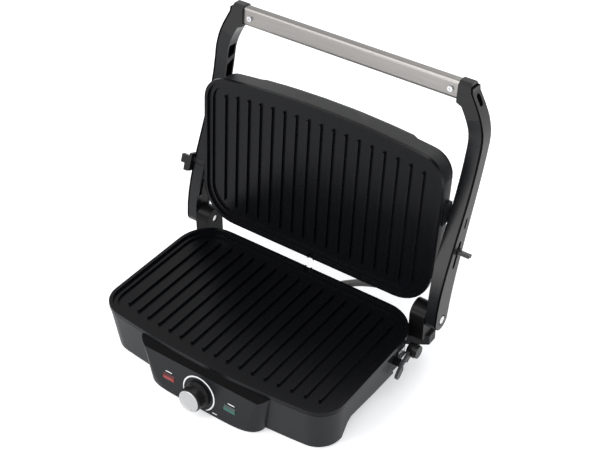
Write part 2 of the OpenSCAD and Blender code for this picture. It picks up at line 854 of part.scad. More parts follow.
module right_hinge_pin() { seat() hinge_pin(); }
module left_hinge_pin() { seat() mirror([1, 0, 0]) hinge_pin(); }

// Release lever in the right side: a bent flat arm that turns on a shoulder screw.
module at_lever() { translate([0, lever_y, lever_z]) children(); }

module release_lever() {
    seat() at_lever()
    color([0.45, 0.45, 0.46])
        difference() {
            union() {
                x_rod(5.5, lever_x0, lever_x0 + lever_t);
                rotate([-lever_up, 0, 0]) translate([lever_x0, -4.5, 0]) cube([lever_t, 9, lever_knob_l]);
                rotate([-lever_down, 0, 0]) {
                    translate([lever_x0, -4.5, -lever_tail_l]) cube([lever_t, 9, lever_tail_l]);
                    translate([0, 0, -lever_tail_l]) x_rod(4.5, lever_x0, lever_x0 + lever_t);
                }
            }
            x_rod(2.5 + fit, lever_x0 - 1, lever_x0 + lever_t + 1);
        }
}

module release_knob() {
    seat() at_lever()
    color(rubber_color)
    rotate([-lever_up, 0, 0]) translate([0, 0, lever_knob_l])
        difference() {
            union() {
                x_rod(7.2, lever_x0 - 2, lever_x0 + 10);
                x_rod(8, lever_x0 + 4, lever_x0 + 7);
            }
            translate([lever_x0 - 0.01, -4.6, -12]) cube([lever_t + 0.02, 9.2, 12.1]);
        }
}

module lever_pivot_screw() {
    seat() at_lever()
    color(zinc_color) {
        x_rod(1.8, recess_x - 8, lever_x0 - seat_gap + 0.1);
        x_rod(2.5, lever_x0 - seat_gap + 0.1, lever_x0 + lever_t + 0.3);
        x_rod(4, lever_x0 + lever_t + 0.3, lever_x0 + lever_t + 1.8);
    }
}

// Steel strip on the recess wall, behind the lever.
module lever_keeper() {
    seat()
    color(steel_color)
    translate([recess_x + 0.1, lever_y + 6, lever_z - 0.8]) {
        cube([4.4, 12, 1.2]);
        cube([1.2, 12, 8]);
    }
}

// ---------------------------------------------------------------- handle

// Plan of an arm's outer side: straight beside the lid, then curved in to the bar.
function outer_side(x) = concat(
    [[x, 20]],
    bezier([
        [x, bend_y], [x, bend_y - 20],
        [x - 0.45 * arm_turn, bend_y - 36], [x - arm_turn + 1.4, bend_y - 53]
    ], 8),
    [[x - arm_turn, arm_end_y - 1]]
);

// Plan of an arm, with a block on its inner side that holds the bar's end.
function arm_plan() = concat(
    [[arm_in_x + arm_taper, 20], [arm_in_x + arm_taper, -ear_r - 4.5], [arm_in_x, -taper_l]],
    bezier([
        [arm_in_x, bend_y], [arm_in_x, bend_y - 13],
        [arm_in_x - 6, bend_y - 24], [bar_half + block_step, block_y + 3]
    ], 8),
    [[bar_half, block_y], [bar_half, arm_end_y - 1]],
    reversed(outer_side(arm_out_x))
);

module arm_band(x0, x1) {
    rotate([90, 0, 90]) translate([0, 0, x0]) linear_extrude(height = x1 - x0) polygon(arm_side);
}

module arm_solid() {
    intersection() {
        union() {
            arm_band(bar_half - 2, arm_out_x + 1);
            x_rod(arm_end_r, arm_in_x, arm_out_x);
        }
        translate([0, 0, -60]) linear_extrude(height = 160) polygon(arm_plan());
    }
}

// Middle of the arm's band at a given share of its length.
function arm_mid(t) =
    let (i = round(40 * t), a = bezier(arm_low, 40), b = bezier(arm_high, 40))
    (a[i] + b[i]) / 2;
function arm_dir(t) = let (d = arm_mid(t + 0.05) - arm_mid(t - 0.05)) atan2(d[1], d[0]);

// A box laid along the arm between two shares of its length.
module arm_pocket(t0, t1, x0, x1, skin) {
    low = bezier(arm_low, 40);
    high = bezier(arm_high, 40);
    rotate([90, 0, 90]) translate([0, 0, x0]) linear_extrude(height = x1 - x0)
        polygon(concat(
            [for (i = [round(40 * t0) : 2 : round(40 * t1)]) low[i] + skin * unit(high[i] - low[i])],
            [for (i = [round(40 * t1) : -2 : round(40 * t0)]) high[i] - skin * unit(high[i] - low[i])]
        ));
}
function unit(v) = v / norm(v);

// Flat strap from the hinge pin to the lid pivot.
module strap_shape(grow) {
    l = norm(pivot_at);
    a = atan2(pivot_at[1], pivot_at[0]);
    circle(r = strap_r + grow, $fn = 64);
    translate(pivot_at) circle(r = strap_pivot_r + grow, $fn = 64);
    // The sides end just inside the rounds, so they cross them cleanly.
    wide = strap_r + grow - 0.05;
    narrow = strap_pivot_r + grow - 0.05;
    rotate(a) polygon([[0, wide], [0, -wide], [l, -narrow], [l, narrow]]);
}

module strap() {
    color(steel_color)
    difference() {
        rotate([90, 0, 90]) translate([0, 0, strap_x]) linear_extrude(height = strap_t) strap_shape(0);
        x_rod(hinge_pin_r + fit, strap_x - 1, strap_x + strap_t + 1);
        translate([0, pivot_at[0], pivot_at[1]]) x_rod(pivot_pin_r + fit, strap_x - 1, strap_x + strap_t + 1);
    }
}

module arm_shell() {
    color(shell_color)
    difference() {
        arm_solid();
        for (b = bays)
            arm_pocket(b[0], b[1], arm_in_x - 1, arm_out_x - arm_wall, arm_wall);
        rotate([90, 0, 90]) translate([0, 0, arm_in_x - 1])
            linear_extrude(height = strap_x - arm_in_x + strap_t + 1.2) strap_shape(seat_gap);
        x_rod(hinge_pin_r + fit, arm_in_x - 1, arm_out_x + 1);
        translate([0, pivot_at[0], pivot_at[1]]) x_rod(pivot_pin_r + fit, arm_in_x - 1, pivot_pin_end + 0.2);
        translate([0, -bar_reach, bar_rise])
            bar_section(bar_half - 4, bar_half + bar_tuck + 0.3, seat_gap * 0.5);
        at_arm_screw() x_rod(1.8, bar_half, arm_out_x);
        at_arm_screw() x_rod(screw_well_r, arm_screw_x - 0.1, arm_out_x);
    }
}

// Outer skin of an arm, one thickness outside the arm itself.
module cover_skin() {
    difference() {
        intersection() {
            union() {
                arm_band(bar_half + 4, cover_out_x + 1);
                x_rod(arm_end_r, cover_in_x, cover_out_x);
            }
            translate([0, 0, -60]) linear_extrude(height = 160)
                polygon(concat(outer_side(cover_out_x), reversed(outer_side(cover_in_x))));
        }
        translate([0, arm_end_y - 5, -60]) cube([cover_out_x, 9, 160]);
        x_rod(hinge_pin_r + 0.3, cover_in_x - 1, cover_out_x + 1);
        x_rod(pin_seat_r, cover_out_x - 1.2, cover_out_x + 1);
        at_arm_screw() {
            for (y = [-1, 1]) translate([0, y * screw_well_l / 2, 0])
                x_rod(screw_well_r, arm_screw_x, cover_out_x);
            translate([arm_screw_x, -screw_well_l / 2, -screw_well_r])
                cube([cover_out_x - arm_screw_x, screw_well_l, 2 * screw_well_r]);
        }
    }
}

// The place of the screw that holds the bar's end, a little below the bar's middle.
module at_arm_screw() { translate([0, screw_drop - bar_reach, bar_rise]) children(); }

module right_arm() {
    seat() opened()
    color(shell_color)
    difference() {
        arm_shell();
        slider_slot(arm_out_x - arm_wall - 1, arm_out_x + 1);
    }
}

module right_arm_cover() {
    seat() opened()
    color(shell_color)
    difference() {
        cover_skin();
        slider_slot(cover_in_x - 1, cover_out_x + 1);
        translate([0, pivot_at[0] + 3, pivot_at[1] - 1])
            rotate([lever_turn, 0, 0]) translate([cover_in_x + 0.8, -5.5, -1.7]) cube([10, 11, 3.4]);
    }
}

// Slot along the arm for the slider's neck.
module slider_slot(x0, x1) {
    translate([0, lever_at[0], lever_at[1]]) rotate([lever_turn, 0, 0]) {
        translate([x0, -slot_l / 2 + slot_w / 2, -slot_w / 2]) cube([x1 - x0, slot_l - slot_w, slot_w]);
        for (y = [-1, 1]) translate([0, y * (slot_l - slot_w) / 2, 0]) x_rod(slot_w / 2, x0, x1);
    }
}

module arm_slider() {
    seat() opened()
    color([0.3, 0.3, 0.31])
    translate([0, lever_at[0], lever_at[1]]) rotate([lever_turn, 0, 0]) translate([0, slider_rest, 0]) {
        translate([arm_out_x - arm_wall - 3.3, -6, -4]) cube([3, 12, 8]);
        for (y = [-1, 1]) translate([0, y * (slider_neck_l / 2 - neck_r), 0])
            x_rod(neck_r, arm_out_x - arm_wall - 0.31, cover_out_x + seat_gap + 0.14);
        translate([arm_out_x - arm_wall - 0.31, neck_r - slider_neck_l / 2, -neck_r])
            cube([arm_wall + arm_cover_t + 0.9, slider_neck_l - 2 * neck_r, 2 * neck_r]);
        translate([cover_out_x + seat_gap, -3.5, -3.5]) cube([2, 7, 7]);
        translate([cover_out_x + seat_gap + 2, -1.8, -3.5]) cube([lever_out - seat_gap - 2, 3.6, 7]);
    }
}

// Notch across the left arm's lower edge for the latch.
module latch_notch(grow) {
    translate([0, latch_at[0], latch_at[1]]) rotate([lever_turn, 0, 0])
        translate([-cover_out_x - 5, -latch_w / 2 - grow, -8])
            cube([cover_out_x - arm_in_x + 7, latch_w + 2 * grow, 8 + latch_d + grow]);
}

module left_arm() {
    seat() opened()
    color(shell_color)
    difference() {
        mirror([1, 0, 0]) arm_shell();
        latch_notch(seat_gap);
    }
}

module left_arm_cover() {
    seat() opened()
    color(shell_color)
    difference() {
        mirror([1, 0, 0]) cover_skin();
        latch_notch(seat_gap);
    }
}

module arm_latch() {
    seat() opened()
    color([0.3, 0.3, 0.31])
    translate([0, latch_at[0], latch_at[1]]) rotate([lever_turn, 0, 0]) {
        translate([-cover_out_x - 1, -latch_w / 2, 0.4])
            cube([cover_out_x - arm_in_x - 1, latch_w, latch_d - 0.4]);
        translate([-cover_out_x - 4, -latch_w / 2 - 4, -5]) cube([3.4, latch_w + 15, latch_d + 5]);
        translate([-cover_out_x - lever_out, -latch_w / 2, -5]) cube([lever_out - 3.5, latch_w + 4, 5]);
        translate([-cover_out_x - 9, latch_w / 2 + 3, -5]) cube([5.5, 9, 5]);
    }
}

module right_strap() { seat() opened() strap(); }
module left_strap() { seat() opened() mirror([1, 0, 0]) strap(); }

module bar_section(x0, x1, grow) {
    w = bar_h / 2 + grow;
    d = bar_d / 2 + grow;
    r = bar_r + grow;
    rotate([90, 0, 90]) translate([0, 0, x0]) linear_extrude(height = x1 - x0) {
        square([2 * w, 2 * (d - r)], center = true);
        square([2 * (w - r), 2 * d], center = true);
        for (x = [-1, 1], y = [-1, 1]) translate([x * (w - r), y * (d - r)]) circle(r = r, $fn = 32);
    }
}

module handle_bar() {
    seat() opened()
    color(steel_color)
    translate([0, -bar_reach, bar_rise])
    difference() {
        bar_section(-bar_half - bar_tuck, bar_half + bar_tuck, 0);
        bar_section(-bar_half - bar_tuck - 1, bar_half + bar_tuck + 1, -bar_wall);
        both_sides() translate([bar_screw_x, 0, -bar_d]) cylinder(r = 1.8, h = bar_d, $fn = 24);
    }
}

// Plugs in the ends of the bar, which the screws bite into.
module bar_end_plugs() {
    seat() opened()
    color(shell_color)
    both_sides()
        difference() {
            translate([0, -bar_reach, bar_rise])
                bar_section(bar_half - 16, bar_half + bar_tuck, -bar_wall - 0.1);
            translate([bar_screw_x, -bar_reach, bar_rise - bar_d]) cylinder(r = 1.6, h = bar_d + 3, $fn = 24);
            at_arm_screw() x_rod(1.7, bar_half - 2, bar_half + bar_tuck + 1);
        }
}

module bar_screws() {
    seat() opened()
    both_sides() translate([bar_screw_x, -bar_reach, bar_rise - bar_d / 2 - 0.1]) screw(1.5, 3, 8);
}

module arm_end_screws() {
    seat() opened()
    both_sides() at_arm_screw() translate([arm_screw_x, 0, 0])
        rotate([0, -90, 0]) screw(1.6, 3, 10.5);
}

module lid_pin() {
    color(steel_color)
    translate([0, pivot_at[0], pivot_at[1]]) {
        x_rod(pivot_pin_r, lid_boss_x - 6, pivot_pin_end);
    }
}

module lid_pin_washers() {
    seat() opened()
    color(steel_color)
    both_sides() translate([0, pivot_at[0], pivot_at[1]])
        difference() {
            x_rod(5.4, lid_boss_x + 0.3, arm_in_x - 0.3);
            x_rod(pivot_pin_r + fit, lid_boss_x - 1, arm_in_x + 1);
        }
}

module right_lid_pin() { seat() opened() lid_pin(); }
module left_lid_pin() { seat() opened() mirror([1, 0, 0]) lid_pin(); }

// ---------------------------------------------------------------- lid

module lid_form(inset) {
    drafted(shell_in + inset, seam_gap - (inset > 0 ? 3 : 0), lid_side - inset, lid_draft);
    drafted(shell_in + lid_draft + inset, lid_side - inset - 0.01, lid_h - inset, lid_shoulder);
}

// Raised panel across the middle of the lid.
module lid_panel(inset) {
    y0 = front_y + shell_in + lid_draft;
    w = lid_panel_half;
    intersection() {
        rotate([90, 0, 0]) translate([0, 0, -rear_y + 6 + inset])
            linear_extrude(height = rear_y - 6 - y0 - inset)
                polygon([
                    [-w - 9, 8], [w + 9, 8], [w + 9, lid_h - lid_panel_h - inset],
                    [w, lid_h + lid_panel_h - inset], [-w, lid_h + lid_panel_h - inset],
                    [-w - 9, lid_h - lid_panel_h - inset]
                ]);
        drafted(shell_in + inset, seam_gap, lid_h + lid_panel_h, lid_draft + 4);
    }
}

module lid_housing() {
    seat() on_lid()
    color(shell_color)
    difference() {
        union() {
            difference() {
                union() {
                    lid_form(0);
                    lid_panel(0);
                }
                lid_form(wall);
                lid_panel(wall);
            }
            mirror([0, 0, 1]) rim_ledge();
            // side bosses round the pivot pins, each on a block
            both_sides() {
                translate([0, pivot_lid_y, pivot_lid_z]) x_rod(boss_r, lid_boss_x - 11, lid_boss_x);
                translate([lid_boss_x - 9, pivot_lid_y - 16, 8]) cube([8.6, 16 + boss_r, pivot_lid_z - 8]);
            }
            // posts for the tray's screws
            intersection() {
                at_fixings() translate([0, 0, -shelf_z]) cylinder(r = 4, h = lid_h + lid_panel_h, $fn = 32);
                union() {
                    lid_form(wall / 2);
                    lid_panel(wall / 2);
                }
            }
        }
        both_sides()
            translate([0, pivot_lid_y, pivot_lid_z])
                x_rod(pivot_pin_r + fit, lid_boss_x - 12, lid_boss_x + 3);
        at_fixings() translate([0, 0, -shelf_z - 1]) cylinder(r = fix_r + 0.1, h = 9, $fn = 24);
        translate([lid_lead[0], 0, lid_lead[1]]) y_rod(lead_r + 1.6, rear_y - 12, rear_y + 4);
    }
}

module lid_lead_grommet() {
    seat() on_lid()
    color(rubber_color)
    translate([lid_lead[0], rear_y - shell_in - lid_draft * lid_lead[1] / lid_side + 1.2, lid_lead[1]])
        lead_grommet();
}

module lid_tray_screws() { seat() on_lid() mirror([0, 0, 1]) tray_screws(); }

module lid_thermostat() {
    seat() on_lid()
    color(zinc_color)
    translate([-40, 10, -shelf_z]) cylinder(r = 8, h = 6, $fn = 48);
}

// ---------------------------------------------------------------- lead

function catmull(p, i, t) =
    let (
        a = p[max(i - 1, 0)], b = p[i], c = p[i + 1], d = p[min(i + 2, len(p) - 1)],
        t2 = t * t, t3 = t * t * t
    )
    0.5 * (2 * b + (c - a) * t + (2 * a - 5 * b + 4 * c - d) * t2 + (3 * b - a - 3 * c + d) * t3);

module link_lead() {
    steps = 3;
    sides = 10;
    n = (len(lead_route) - 1) * steps;
    path = concat(
        [for (i = [0 : len(lead_route) - 2], k = [0 : steps - 1]) catmull(lead_route, i, k / steps)],
        [lead_route[len(lead_route) - 1]]
    );
    along = [for (i = [0 : n]) unit(path[min(i + 1, n)] - path[max(i - 1, 0)])];
    side = [for (i = [0 : n]) unit(cross(along[i], [0.3, 0.2, 1]))];
    up = [for (i = [0 : n]) cross(side[i], along[i])];
    rings = [for (i = [0 : n], k = [0 : sides - 1])
        path[i] + (lead_r - 0.1) * (cos(360 * k / sides) * side[i] + sin(360 * k / sides) * up[i])];
    skin = [for (i = [0 : n - 1], k = [0 : sides - 1], half = [0, 1])
        let (
            a = i * sides + k, b = i * sides + (k + 1) % sides,
            c = b + sides, d = a + sides
        )
        half == 0 ? [a, b, c] : [a, c, d]];
    ends = [[for (k = [sides - 1 : -1 : 0]) k], [for (k = [0 : sides - 1]) n * sides + k]];
    seat()
    color([0.45, 0.45, 0.44])
    polyhedron(points = rings, faces = concat(skin, ends), convexity = 4);
}

base_housing();
bottom_cover();
rubber_feet();
cover_screws();
base_tray_screws();
lower_plate();
lower_reflector();
lower_element();
lower_plate_clips();
thermostat();
red_lamp_lens();
green_lamp_lens();
lamp_holders();
terminal_block();
thermal_fuse();
cord_inlet();
base_lead_grommet();
left_hinge_bracket();
right_hinge_bracket();
left_hinge_pin();
right_hinge_pin();
bracket_screws();
lever_pivot_screw();
lever_keeper();
release_lever();
release_knob();
control_knob();
knob_cap();
thermostat_shaft();
left_arm();
right_arm();
left_arm_cover();
right_arm_cover();
left_strap();
right_strap();
handle_bar();
bar_end_plugs();
bar_screws();
arm_end_screws();
left_lid_pin();
right_lid_pin();
lid_pin_washers();
arm_slider();
arm_latch();
lid_housing();
upper_plate();
upper_reflector();
upper_element();
upper_plate_clips();
lid_thermostat();
lid_lead_grommet();
lid_tray_screws();
link_lead();
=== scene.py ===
import json
import math

import bpy
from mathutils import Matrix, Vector


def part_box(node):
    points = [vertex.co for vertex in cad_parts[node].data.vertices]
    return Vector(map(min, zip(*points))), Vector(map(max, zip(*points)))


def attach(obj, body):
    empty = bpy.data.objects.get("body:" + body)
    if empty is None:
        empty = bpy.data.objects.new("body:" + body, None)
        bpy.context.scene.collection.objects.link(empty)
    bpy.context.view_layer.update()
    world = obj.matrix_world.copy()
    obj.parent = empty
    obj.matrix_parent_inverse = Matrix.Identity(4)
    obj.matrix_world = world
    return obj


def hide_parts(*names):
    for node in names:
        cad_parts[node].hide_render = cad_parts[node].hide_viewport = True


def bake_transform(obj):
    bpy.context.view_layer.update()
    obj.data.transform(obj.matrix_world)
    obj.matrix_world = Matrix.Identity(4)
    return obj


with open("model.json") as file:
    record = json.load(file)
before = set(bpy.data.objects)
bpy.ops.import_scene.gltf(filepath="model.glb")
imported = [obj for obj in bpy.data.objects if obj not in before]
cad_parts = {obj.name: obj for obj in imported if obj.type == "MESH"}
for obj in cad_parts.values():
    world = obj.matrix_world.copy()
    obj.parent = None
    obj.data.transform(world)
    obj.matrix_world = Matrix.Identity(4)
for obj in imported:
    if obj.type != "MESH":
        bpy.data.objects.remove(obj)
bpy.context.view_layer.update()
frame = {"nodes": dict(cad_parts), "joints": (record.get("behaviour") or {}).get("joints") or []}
nodes = frame["nodes"]
scene = bpy.context.scene
print("panini press: frame loaded with", len(nodes), "nodes")

# camera
cameraSet = {
    "place": (0.5922, -0.7858, 0.9253),
    "aim": (0.0228, 0.0196, 0.1574),
    "lens": 72.75,
}


def makeCamera(s):
    lensData = bpy.data.cameras.new("pressCamera")
    lensData.lens = s["lens"]
    lensData.sensor_width = 36
    camera = bpy.data.objects.new("pressCamera", lensData)
    scene.collection.objects.link(camera)
    look = Vector(s["aim"]) - Vector(s["place"])
    camera.location = s["place"]
    camera.rotation_euler = look.to_track_quat("-Z", "Y").to_euler()
    scene.camera = camera


makeCamera(cameraSet)
print("camera in place")


# small helpers for meshes
weldGap = 0.00001


def meshPiece(name, points, faces, smooth=True):
    mesh = bpy.data.meshes.new(name)
    mesh.from_pydata([tuple(p) for p in points], [], faces)
    mesh.validate()
    mesh.update()
    if smooth:
        mesh.polygons.foreach_set("use_smooth", [True] * len(mesh.polygons))
    piece = bpy.data.objects.new(name, mesh)
    scene.collection.objects.link(piece)
    return piece


def dress(piece, material, body):
    piece.data.materials.clear()
    piece.data.materials.append(material)
    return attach(piece, body)


def wrapFaces(rows, sides):
    # quads between rows of points, each row closed on itself
    faces = []
    for i in range(rows - 1):
        for k in range(sides):
            a, b = i * sides + k, i * sides + (k + 1) % sides
            faces.append((a, b, b + sides, a + sides))
    return faces


def circlePoints(radius, sides):
    turns = [2 * math.pi * k / sides for k in range(sides)]
    return [(radius * math.cos(turn), radius * math.sin(turn)) for turn in turns]


def catmullPath(route, steps):
    # a smooth curve through every point of the route
    points = []
    for i in range(len(route) - 1):
        a, b = route[max(i - 1, 0)], route[i]
        c, d = route[i + 1], route[min(i + 2, len(route) - 1)]
        for k in range(steps):
            t = k / steps
            point = 2 * b + (c - a) * t + (2 * a - 5 * b + 4 * c - d) * t ** 2
            points.append(0.5 * (point + (3 * b - a - 3 * c + d) * t ** 3))
    points.append(route[-1])
    return points


def tubeAlong(name, path, radius, sides):
    points = []
    # a direction that the path never takes, to turn its sections by
    guide = Vector((0.3, 0.2, 1.0))
    for i, p in enumerate(path):
        along = (path[min(i + 1, len(path) - 1)] - path[max(i - 1, 0)]).normalized()
        side = along.cross(guide).normalized()
        up = side.cross(along)
        for k in range(sides):
            turn = 2 * math.pi * k / sides
            points.append(p + radius * (math.cos(turn) * side + math.sin(turn) * up))
    faces = wrapFaces(len(path), sides)
    faces.append(tuple(reversed(range(sides))))
    last = (len(path) - 1) * sides
    faces.append(tuple(last + k for k in range(sides)))
    return meshPiece(name, points, faces)


# materials
class Recipe:
    # a material's node tree, with short calls for what the finishes share
    def __init__(self, name):
        self.material = bpy.data.materials.new(name)
        self.material.use_nodes = True
        self.tree = self.material.node_tree
        self.shader = self.tree.nodes["Principled BSDF"]
        self.place = self.tree.nodes.new("ShaderNodeTexCoord").outputs["Object"]

    def add(self, kind, **values):
        node = self.tree.nodes.new("ShaderNode" + kind)
        for key, value in values.items():
            if key in node.inputs:
                node.inputs[key].default_value = value
            else:
                setattr(node, key, value)
        return node

    def join(self, a, b):
        self.tree.links.new(a, b)

    def stretched(self, scale):
        mapping = self.add("Mapping")
        mapping.inputs["Scale"].default_value = scale
        self.join(self.place, mapping.inputs["Vector"])
        return mapping.outputs["Vector"]

    def noise(self, scale, detail=3.0, stretch=None, roughness=0.5):
        grain = self.add("TexNoise", Scale=scale, Detail=detail, Roughness=roughness)
        self.join(self.stretched(stretch) if stretch else self.place, grain.inputs["Vector"])
        return grain.outputs["Fac"]

    def spread(self, value, low, high, fromLow=0.3, fromHigh=0.7):
        ramp = self.add("MapRange")
        ramp.inputs["From Min"].default_value = fromLow
        ramp.inputs["From Max"].default_value = fromHigh
        ramp.inputs["To Min"].default_value = low
        ramp.inputs["To Max"].default_value = high
        self.join(value, ramp.inputs["Value"])
        return ramp.outputs["Result"]

    def twoTone(self, value, first, second):
        mix = self.add("Mix", data_type="RGBA")
        mix.inputs["A"].default_value = (*first, 1)
        mix.inputs["B"].default_value = (*second, 1)
        self.join(value, mix.inputs["Factor"])
        return mix.outputs["Result"]

    def bump(self, value, strength, depth):
        bump = self.add("Bump", Strength=strength, Distance=depth)
        self.join(value, bump.inputs["Height"])
        self.join(bump.outputs["Normal"], self.shader.inputs["Normal"])

    def fixed(self, **values):
        for key, value in values.items():
            self.shader.inputs[key.replace("_", " ")].default_value = value


plasticSet = {
    "cloudScale": 28,
    "handledScale": 9,
    "handledShare": 0.35,
    "grainShare": 0.65,
    "glossier": 0.05,
    "duller": 0.07,
    "drift": 0.12,
    "relief": 0.35,
}


def mouldedPlastic(name, colour, roughness, grain=2200, depth=0.00004, level=0.5):
    s = plasticSet
    r = Recipe(name)
    cloud = r.noise(s["cloudScale"], detail=2)
    dark = tuple(c * (1 - s["drift"]) for c in colour)
    light = tuple(c * (1 + s["drift"]) for c in colour)
    r.join(r.twoTone(r.spread(cloud, 0, 1), dark, light), r.shader.inputs["Base Color"])
    texture = r.noise(grain, detail=2)
    handled = r.noise(s["handledScale"])
    smear = r.add("Math", operation="MULTIPLY_ADD")
    smear.inputs[1].default_value = s["handledShare"]
    r.join(handled, smear.inputs[0])
    r.join(r.spread(texture, 0, s["grainShare"]), smear.inputs[2])
    low, high = roughness - s["glossier"], roughness + s["duller"]
    gloss = r.spread(smear.outputs["Value"], low, high, fromLow=0, fromHigh=1)
    r.join(gloss, r.shader.inputs["Roughness"])
    r.bump(texture, s["relief"], depth)
    r.fixed(Specular_IOR_Level=level)
    return r.material


def grillCoating(name, s):
    r = Recipe(name)
    fleck = r.add("TexVoronoi", Scale=s["fleckScale"])
    r.join(r.place, fleck.inputs["Vector"])
    nearest, farthest = s["fleckEdge"]
    spots = r.spread(fleck.outputs["Distance"], 1, 0, fromLow=nearest, fromHigh=farthest)
    r.join(r.twoTone(spots, s["colour"], s["fleck"]), r.shader.inputs["Base Color"])
    haze = r.noise(s["hazeScale"], detail=4)
    low, high = s["roughness"] - s["glossier"], s["roughness"] + s["duller"]
    r.join(r.spread(haze, low, high), r.shader.inputs["Roughness"])
    r.bump(r.noise(s["grain"]), strength=0.3, depth=0.00005)
    r.fixed(Specular_IOR_Level=s["level"])
    return r.material


metalSet = {
    "lineScale": 900,
    "sheenScale": 70,
    "lineStretch": 0.02,
    "lineTone": 0.86,
    "mottleTone": 0.8,
    "glossier": 0.06,
    "duller": 0.08,
    "reliefDepth": 0.00002,
}


def metalSheen(r, value, roughness):
    low, high = roughness - metalSet["glossier"], roughness + metalSet["duller"]
    r.join(r.spread(value, low, high), r.shader.inputs["Roughness"])
    r.fixed(Metallic=1.0)


def brushedMetal(name, colour, roughness, along):
    s = metalSet
    r = Recipe(name)
    streak = tuple(s["lineStretch"] if axis == along else 1 for axis in "xyz")
    fine = r.noise(s["lineScale"], detail=5, stretch=streak, roughness=0.7)
    broad = r.noise(s["sheenScale"], stretch=streak)
    dark = tuple(c * s["lineTone"] for c in colour)
    r.join(r.twoTone(r.spread(fine, 0, 1), dark, colour), r.shader.inputs["Base Color"])
    metalSheen(r, broad, roughness)
    r.bump(fine, strength=0.35, depth=s["reliefDepth"])
    return r.material


def platedMetal(name, colour, roughness, grain=900):
    s = metalSet
    r = Recipe(name)
    mottle = r.noise(grain)
    dull = tuple(c * s["mottleTone"] for c in colour)
    r.join(r.twoTone(r.spread(mottle, 0, 1), dull, colour), r.shader.inputs["Base Color"])
    metalSheen(r, mottle, roughness)
    r.bump(mottle, strength=0.15, depth=s["reliefDepth"])
    return r.material


finish = {
    "shell": {"colour": (0.0074, 0.0078, 0.0090), "roughness": 0.38, "level": 0.15},
    "arm": {"colour": (0.0050, 0.0053, 0.0064), "roughness": 0.28, "level": 0.22},
    # the covers' lighter, warmer grey is a painted reflection over charcoal plastic
    "cover": {"colour": (0.028, 0.027, 0.025), "roughness": 0.38, "level": 0.30},
    # near-black with almost no reflection: painted shade on the sloped band and the cover walls
    "gloss": {"colour": (0.002, 0.002, 0.0023), "roughness": 0.30, "level": 0.02},
    "block": {"colour": (0.004, 0.004, 0.0045), "roughness": 0.15, "level": 0.30},
    "black": {"colour": (0.006, 0.006, 0.0065), "roughness": 0.32, "level": 0.22},
    "ear": {"colour": (0.005, 0.005, 0.0055), "roughness": 0.28, "level": 0.08},
    "bar": {"colour": (0.255, 0.245, 0.235), "roughness": 0.34},
    "lever": {"colour": (0.060, 0.060, 0.063), "roughness": 0.42, "level": 0.3},
    # the straps get a near-black finish
    "strap": {"colour": (0.010, 0.010, 0.011), "roughness": 0.45, "level": 0.2},
    "ceramic": {"colour": (0.72, 0.69, 0.6), "roughness": 0.5},
    "foot": {"colour": (0.016, 0.016, 0.016), "roughness": 0.72, "grain": 1400, "depth": 0.00008},
    "sleeve": {"colour": (0.17, 0.17, 0.165), "roughness": 0.5, "grain": 700, "depth": 0.0002},
    "zinc": {"colour": (0.62, 0.62, 0.64), "roughness": 0.3},
    "pin": {"colour": (0.78, 0.78, 0.79), "roughness": 0.22},
    "tray": {"colour": (0.70, 0.70, 0.71), "roughness": 0.35},
    "sheath": {"colour": (0.33, 0.29, 0.26), "roughness": 0.4, "grain": 300},
    "plate": {
        "colour": (0.0022, 0.0024, 0.0032),
        "fleck": (0.008, 0.009, 0.011),
        "fleckScale": 900,
        "fleckEdge": (0.05, 0.16),
        "hazeScale": 45,
        "grain": 1500,
        "roughness": 0.27,
        "glossier": 0.02,
        "duller": 0.03,
        "level": 0.13,
    },
}

shellPlastic = mouldedPlastic("charcoalShell", **finish["shell"])
armPlastic = mouldedPlastic("charcoalArm", **finish["arm"])
coverPaintedReflection = mouldedPlastic("charcoalCoverPaintedReflection", **finish["cover"])
paintedShadeBlack = mouldedPlastic("paintedShadeNearBlack", **finish["gloss"])
blockPlastic = mouldedPlastic("polishedBlock", **finish["block"])
blackPlastic = mouldedPlastic("satinBlack", **finish["black"])
earPlastic = mouldedPlastic("hingeBlack", **finish["ear"])
leverPaint = mouldedPlastic("greyLeverPaint", **finish["lever"])
strapNearBlack = mouldedPlastic("nearBlackStrap", **finish["strap"])
ceramic = mouldedPlastic("paleInsulation", **finish["ceramic"])
footRubber = mouldedPlastic("footRubber", **finish["foot"])
sleeveMaterial = mouldedPlastic("greySleeve", **finish["sleeve"])
plateCoating = grillCoating("grillCoating", finish["plate"])
barSteel = brushedMetal("brushedBar", **finish["bar"], along="x")
platedSteel = platedMetal("zincPlate", **finish["zinc"])
pinSteel = platedMetal("pinSteel", **finish["pin"])
trayMetal = brushedMetal("trayMetal", **finish["tray"], along="y")
sheath = platedMetal("elementSheath", **finish["sheath"])
print("finishes mixed")


# lead between the base and the lid: its route is in the part's own millimetres,
# and seatY and seatZ are where the part's origin lies in the frame
leadSet = {
    "route": [
        (26, 83, -20), (26, 94, -20), (28, 102, -20), (34, 108, -18.5), (43, 111, -14.5), (54, 112, -9),
        (66, 112.5, -4), (77, 113, -0.5), (85, 113.4, 4), (88, 113.6, 10), (88, 113.8, 13), (88, 114.3, 21),
    ],
    "radius": 0.0041,
    "seatY": -0.021576,
    "seatZ": 0.054,
    "stepsEach": 8,
    "sides": 20,
}


def makeLead(s):
    offset = Vector((0, s["seatY"], s["seatZ"]))
    route = [Vector(p) / 1000 + offset for p in s["route"]]
    path = catmullPath(route, s["stepsEach"])
    lead = tubeAlong("link_lead_sleeve", path, s["radius"], s["sides"])
    lead.data.materials.append(sleeveMaterial)
    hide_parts("link_lead")
    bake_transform(lead)


makeLead(leadSet)

